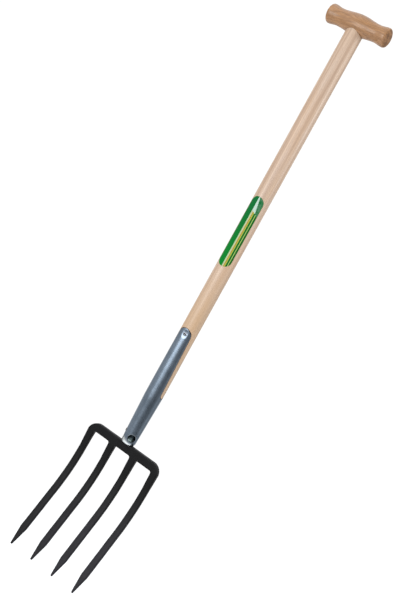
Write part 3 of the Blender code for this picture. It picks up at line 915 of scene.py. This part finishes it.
def wood_look(name, colours, along, pith, ring, figure, polish, groove=None):
    """Solid wood: growth rings round a pith line, fibres and pores along the grain, dark end grain.

    The colours are early wood, a warmer patch, late wood and pores. along is the axis of the
    grain, pith where the pith line passes it, ring the width of a year, figure how wild the grain
    is, and polish its roughness. groove is the height below which wood sunk under the shaft's skin
    is darkened, as stain and painted shade, and near which the wood turns darker and yellower,
    as yellowing and painted shade.
    """
    look = Look(name)
    light, warm, late_wood, dark = colours

    def grained(across, lengthwise, source=None):
        factors = [across] * 3
        factors[along] = lengthwise
        return look.scaled(*factors, source=source)

    wander = look.node("TexNoise", Vector=grained(1, 0.08 * figure**3), Detail=3.0, Roughness=0.5)
    wander.inputs["Scale"].default_value = 16.0 * figure
    sway = look.vector("SUBTRACT", wander.outputs["Color"], (0.5, 0.5, 0.5))
    bent = look.vector("MULTIPLY_ADD", sway, (0.02 * figure,) * 3, look.place)
    from_pith = look.vector("LENGTH", grained(1, 0, look.vector("SUBTRACT", bent, pith)))
    season = look.math("FRACT", look.math("DIVIDE", from_pith, ring))
    late = look.fit(season, 0.45, 0.95)
    fibre = look.noise(grained(900, 14), 1, 4, 0.65)
    streak = look.noise(grained(190, 2.5 * figure**4, bent), 1, 3, 0.5)
    patch = look.noise(grained(42, 9), 1, 2, 0.5)
    pore = look.fit(look.noise(grained(2600, 110), 1, 2, 0.5), 0.62, 0.72)
    normal = look.node("NewGeometry").outputs["Normal"]
    facing = look.node("SeparateXYZ", Vector=normal).outputs[along]
    end = look.fit(look.math("ABSOLUTE", facing), 0.55, 0.85)

    colour = look.blend(look.fit(patch, 0.38, 0.62), light, warm)
    colour = look.blend(look.times(late, 0.45 + 0.25 * figure), colour, late_wood)
    colour = look.blend(look.fit(streak, 0.46, 0.62, 0, 0.9 / figure), colour, late_wood)
    pale = look.times(look.fit(streak, 0.44, 0.32, 0, 0.7 / figure), look.math("SUBTRACT", 1, end))
    colour = look.blend(pale, colour, [1.2 * part for part in light])
    colour = look.blend(look.fit(fibre, 0.45, 0.8, 0, 0.3), colour, dark)
    colour = look.blend(look.times(pore, 0.25), colour, dark)
    blotch = look.fit(look.noise(look.place, 130, 4, 0.6), 0.4, 0.62, 0.15, 0.85)
    colour = look.blend(look.times(end, blotch), colour, dark)
    if groove:
        up = look.axes()[2]
        # Darker, yellower wood towards the socket: partly yellowing, partly painted shade.
        yellowing_and_painted_shade = look.fit(up, groove + 150 * MM, groove + 30 * MM, 0, 0.45)
        colour = look.blend(yellowing_and_painted_shade, colour, (0.45, 0.3, 0.165))
        # Wood sunk under the skin, in the rebates below the socket's top, is darkened: partly stain,
        # partly painted shade in the grooves between the wood and the straps.
        sunk = look.fit(look.reach(), SHAFT_RADIUS - 0.15 * MM, SHAFT_RADIUS - 0.6 * MM)
        stain_and_painted_shade = look.times(sunk, look.math("LESS_THAN", up, groove), 0.85)
        colour = look.blend(stain_and_painted_shade, colour, (0.08, 0.042, 0.022))

    grain = look.plus(look.times(late, 0.4), look.math("SUBTRACT", fibre, pore))
    look.bump(grain, 0.15, 0.12 * MM)
    rough = look.plus(
        look.fit(fibre, 0.3, 0.7, polish - 0.05, polish + 0.1),
        look.fit(end, 0, 1, 0, 0.25),
    )
    coat = look.fit(end, 0, 0.8, 0.3, 0)
    look.set(Coat_Weight=coat, Coat_Roughness=polish - 0.2)
    return look.set(Base_Color=colour, Roughness=rough, Metallic=0.0)


LABEL_WRAP = 0.85  # radians that the printing reaches to each side
STRIPES_START = 0.5  # share of the way across
STRIPES_TOP = 0.87  # share of the way up, where the pale patch follows them
STRIPES_SLANT = 0.12  # how much lower they end on the right
PATCH_SLANT, PATCH_EDGE = 0.9, 1.47  # slope and place of the patch's far side
GREEN, DEEP_GREEN, LIME = (0.003, 0.14, 0.022), (0.005, 0.1, 0.013), (0.12, 0.25, 0.01)
CREAM, ORANGE, YELLOW = (0.4, 0.48, 0.28), (0.42, 0.23, 0.05), (0.45, 0.4, 0.05)
STRIPES = [  # where each stripe starts, as a share of the way across, and its colour
    (0.0, GREEN), (0.5, CREAM), (0.585, ORANGE), (0.635, LIME), (0.66, YELLOW),
    (0.705, GREEN), (0.76, DEEP_GREEN), (0.82, (0.3, 0.45, 0.12)), (0.87, DEEP_GREEN),
]


def label_look():
    """Green printed film with plain stripes along its right half and a pale patch above them."""
    look = Look("printed_green_film")
    x, y, z = look.axes()
    across = look.fit(look.math("ARCTAN2", x, look.times(y, -1.0)), -LABEL_WRAP, LABEL_WRAP)
    up = look.fit(z, LABEL_LOW.z, LABEL_HIGH.z)
    plain = look.ramp(up, [(0.0, (0.002, 0.18, 0.02)), (0.6, GREEN), (1.0, (0.004, 0.12, 0.03))])
    right = look.math("GREATER_THAN", across, STRIPES_START)
    slanted = look.plus(up, look.times(across, STRIPES_SLANT))
    striped = look.times(right, look.math("LESS_THAN", slanted, STRIPES_TOP))
    colour = look.blend(striped, plain, look.ramp(across, STRIPES, "CONSTANT"))
    above = look.times(right, look.math("GREATER_THAN", slanted, STRIPES_TOP))
    cloud = look.fit(look.noise(look.place, 160, 3, 0.6), 0.4, 0.65, 0, 0.22)
    colour = look.blend(look.times(cloud, above), colour, (0.3, 0.42, 0.36))
    far = look.plus(across, look.times(up, PATCH_SLANT))
    patch = look.times(above, look.math("LESS_THAN", far, PATCH_EDGE))
    colour = look.blend(patch, colour, (0.42, 0.55, 0.48))
    speckle = look.noise(look.place, 900, 2, 0.5)
    colour = look.blend(look.fit(speckle, 0.3, 0.8, 0, 0.12), colour, DEEP_GREEN)
    look.bump(look.noise(look.place, 320, 3, 0.5), 0.12, 0.1 * MM)
    rough = look.fit(speckle, 0.3, 0.7, 0.2, 0.28)
    return look.set(Base_Color=colour, Roughness=rough, Metallic=0.0, Specular_IOR_Level=0.06)


# ---------------------------------------------------------------- pieces


def finish_piece(item, look, slot, *nodes):
    item.data.materials.clear()
    item.data.materials.append(look)
    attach(item, "root")
    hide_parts(*nodes)


def build_pieces():
    dish = direction(math.degrees(RIVET_ANGLE), 0) * RIVET_HIGH.y + Vector((0, 0, level(RIVET_HEIGHT)))
    rivet_steel = steel_look("zinc_plated_rivet", (0.3, 0.32, 0.35), (0.52, 0.55, 0.6), 0.36, 0.3, dish)
    pin_steel = steel_look("dulled_pin", (0.16, 0.13, 0.1), (0.36, 0.32, 0.27), 0.5, 0.5)
    weld_metal = steel_look("weld_metal", (0.13, 0.18, 0.18), (0.42, 0.52, 0.51), 0.5, 0.6)
    groove = level(STRAP_TOP) + 4 * MM
    ash = wood_look("pale_ash", ASH, 2, (0.05, 0.03, 0), 2.6 * MM, 1.0, 0.48, groove)
    beech = wood_look("brown_beech", BEECH, 0, (0, -0.012, 0.03), 4.2 * MM, 1.7, 0.46)
    oak = wood_look("dark_wedge_wood", OAK, 2, (0.02, 0.04, 0), 1.5 * MM, 1.0, 0.55)
    finish_piece(build_head(), paint_look(), "black_paint", "fork_head")
    finish_piece(build_socket(), galvanised_look(), "galvanised_steel", "socket")
    finish_piece(build_weld(), weld_metal, "weld_metal", "tang_weld")
    seat = SOCKET_MOUTH_RADIUS - DIMPLE_DEPTH
    rivet = build_rivet("dished_rivet", seat, RIVET_HIGH.y - RIVET_INSET - seat, RIVET_HEAD_RADIUS)
    rivet.data.transform(Matrix.Translation((0, 0, level(RIVET_HEIGHT))) @ RIVET_TURN)
    finish_piece(rivet, rivet_steel, "rivet_steel", "strap_rivet")
    stock = socket_outer(PIN_HEIGHT)
    pin = build_rivet("cross_pin", stock, PIN_HEAD_HEIGHT, PIN_HEAD_RADIUS, stock - CLEARANCE)
    pin.data.transform(Matrix.Rotation(PIN_ANGLE, 4, "Z"))
    pin.data.transform(Matrix.Translation((0, 0, level(PIN_HEIGHT))))
    finish_piece(pin, pin_steel, "rivet_steel", "socket_pin")
    finish_piece(build_shaft(), ash, "ash_wood", "shaft")
    finish_piece(build_grip(), beech, "grip_wood", "t_grip")
    finish_piece(build_wedge(), oak, "wedge_wood", "tenon_wedge")
    finish_piece(build_label(), label_look(), "green_film", "label")


# ---------------------------------------------------------------- stage, light and camera

CAMERA_AZIMUTH = 23.95
CAMERA_ELEVATION = 6.6
CAMERA_ROLL = 28.96
CAMERA_DISTANCE = 2.1
CAMERA_LENS = 63.8
CAMERA_AIM = (-0.008, 0, 0.326)  # the last number is a height above the crossbar
FLOOR_DROP = 0.28  # how far the floor lies below the tips
FLOOR_SOLID = 0.45  # radius within which the floor is opaque
FLOOR_RADIUS = 1.5
STUDIO_RING = [  # brightness at each azimuth of the horizon
    (-180, 1.06), (-135, 1.04), (-105, 0.5), (-65, 0.84), (-25, 0.9),
    (30, 0.46), (65, 0.24), (85, 0.36), (110, 0.5), (145, 0.48), (170, 0.92), (180, 1.06),
]
STUDIO_LOW_RING = [  # the same, 15 degrees and more below it
    (-180, 1.06), (-135, 1.04), (-105, 0.66), (-65, 0.63), (-25, 0.29),
    (30, 0.17), (65, 0.14), (85, 0.24), (110, 0.66), (145, 0.42), (170, 0.94), (180, 1.06),
]
STUDIO_TOP = (1.34, 1.38, 1.44)
LOW_TO_MIDDLE = (-0.25, -0.12)  # heights on the unit sphere between which the rings change over
MIDDLE_TO_TOP = (0.15, 1.0)
PANEL_DISTANCE = 2.2
KEY_AZIMUTH = -7
KEY_HEIGHTS = (-0.05, 1.2)  # above the crossbar
KEY_WIDTH = 1.65
KEY_POWER = 36
SIDE_AZIMUTH = 96
SIDE_HEIGHTS = (0.62, 1.5)
SIDE_WIDTH = 1.1
SIDE_POWER = 25


def direction(azimuth, elevation):
    """The way from the object out to an azimuth, 0 in front and 90 on the right."""
    a, e = math.radians(azimuth), math.radians(elevation)
    return Vector((math.sin(a) * math.cos(e), -math.cos(a) * math.cos(e), math.sin(e)))


def add_camera():
    data = bpy.data.cameras.new("camera")
    data.lens = CAMERA_LENS
    data.sensor_width = 36
    camera = add_object("camera", data)
    back = direction(CAMERA_AZIMUTH, CAMERA_ELEVATION)
    aim = Vector((CAMERA_AIM[0], CAMERA_AIM[1], level(CAMERA_AIM[2])))
    camera.location = aim + back * CAMERA_DISTANCE
    turn = (-back).to_track_quat("-Z", "Y").to_matrix().to_4x4()
    roll = Matrix.Rotation(math.radians(CAMERA_ROLL), 4, "Z")
    camera.rotation_euler = (turn @ roll).to_euler()
    bpy.context.scene.camera = camera


def add_panel(name, azimuth, heights, width, power):
    """An upright soft light that faces the shaft."""
    low, high = heights
    data = bpy.data.lights.new(name, "AREA")
    data.shape = "RECTANGLE"
    data.size = width
    data.size_y = high - low
    data.energy = power
    light = add_object(name, data)
    light.location = direction(azimuth, 0) * PANEL_DISTANCE + Vector((0, 0, level((low + high) / 2)))
    light.rotation_euler = (-direction(azimuth, 0)).to_track_quat("-Z", "Z").to_euler()


def floor_look():
    """Pale paper that fades out long before its edge."""
    look = Look("pale_floor")
    cloud = look.noise(look.place, 3, 2, 0.5)
    base = look.ramp(cloud, [(0.3, (0.92, 0.92, 0.92)), (0.7, (0.94, 0.94, 0.94))])
    alpha = look.fit(look.reach(), FLOOR_SOLID, FLOOR_RADIUS, 1, 0)
    return look.set(Base_Color=base, Roughness=1.0, Specular_IOR_Level=0.0, Alpha=alpha)


def add_floor():
    mesh = bpy.data.meshes.new("floor")
    shape = bmesh.new()
    bmesh.ops.create_circle(shape, cap_ends=True, segments=96, radius=FLOOR_RADIUS)
    close_mesh(shape, mesh)
    floor = add_object("floor", mesh)
    floor.location.z = HEAD_LOW.z - FLOOR_DROP
    mesh.materials.append(floor_look())


def add_world():
    """A studio that is white behind the fork, duller on the left, dark on the right, bright above."""
    world = bpy.data.worlds.new("studio")
    world.use_nodes = True
    tree = world.node_tree

    def link(kind, source, socket):
        made = tree.nodes.new("ShaderNode" + kind)
        tree.links.new(source, made.inputs[socket])
        return made

    place = tree.nodes.new("ShaderNodeTexCoord").outputs["Generated"]
    parts = link("SeparateXYZ", place, 0)
    turn = link("Math", parts.outputs["X"], 0)
    turn.operation = "ARCTAN2"
    back = link("Math", parts.outputs["Y"], 0)
    back.operation = "MULTIPLY"
    back.inputs[1].default_value = -1
    tree.links.new(back.outputs[0], turn.inputs[1])
    share = link("MapRange", turn.outputs[0], "Value")
    share.inputs["From Min"].default_value = -math.pi
    share.inputs["From Max"].default_value = math.pi

    def ring(shades):
        made = link("ValToRGB", share.outputs[0], "Fac")
        made.color_ramp.interpolation = "EASE"
        while len(made.color_ramp.elements) < len(shades):
            made.color_ramp.elements.new(0.5)
        for element, (azimuth, shade) in zip(made.color_ramp.elements, shades):
            element.position = 0.5 + azimuth / 360
            element.color = (shade, shade, shade, 1)
        return made.outputs["Color"]

    def climb(heights, below, above):
        """Turns from one colour to another between two heights."""
        rise = link("MapRange", parts.outputs["Z"], "Value")
        rise.interpolation_type = "SMOOTHSTEP"
        rise.inputs["From Min"].default_value = heights[0]
        rise.inputs["From Max"].default_value = heights[1]
        made = link("Mix", rise.outputs[0], "Factor")
        made.data_type = "RGBA"
        tree.links.new(below, made.inputs[6])
        if isinstance(above, tuple):
            made.inputs[7].default_value = (*above, 1)
        else:
            tree.links.new(above, made.inputs[7])
        return made.outputs[2]

    walls = climb(LOW_TO_MIDDLE, ring(STUDIO_LOW_RING), ring(STUDIO_RING))
    studio = climb(MIDDLE_TO_TOP, walls, STUDIO_TOP)
    tree.links.new(studio, tree.nodes["Background"].inputs["Color"])
    bpy.context.scene.world = world


build_pieces()
add_camera()
add_floor()
add_world()
add_panel("key", KEY_AZIMUTH, KEY_HEIGHTS, KEY_WIDTH, KEY_POWER)
add_panel("side", SIDE_AZIMUTH, SIDE_HEIGHTS, SIDE_WIDTH, SIDE_POWER)
bpy.context.scene.view_settings.view_transform = "Standard"
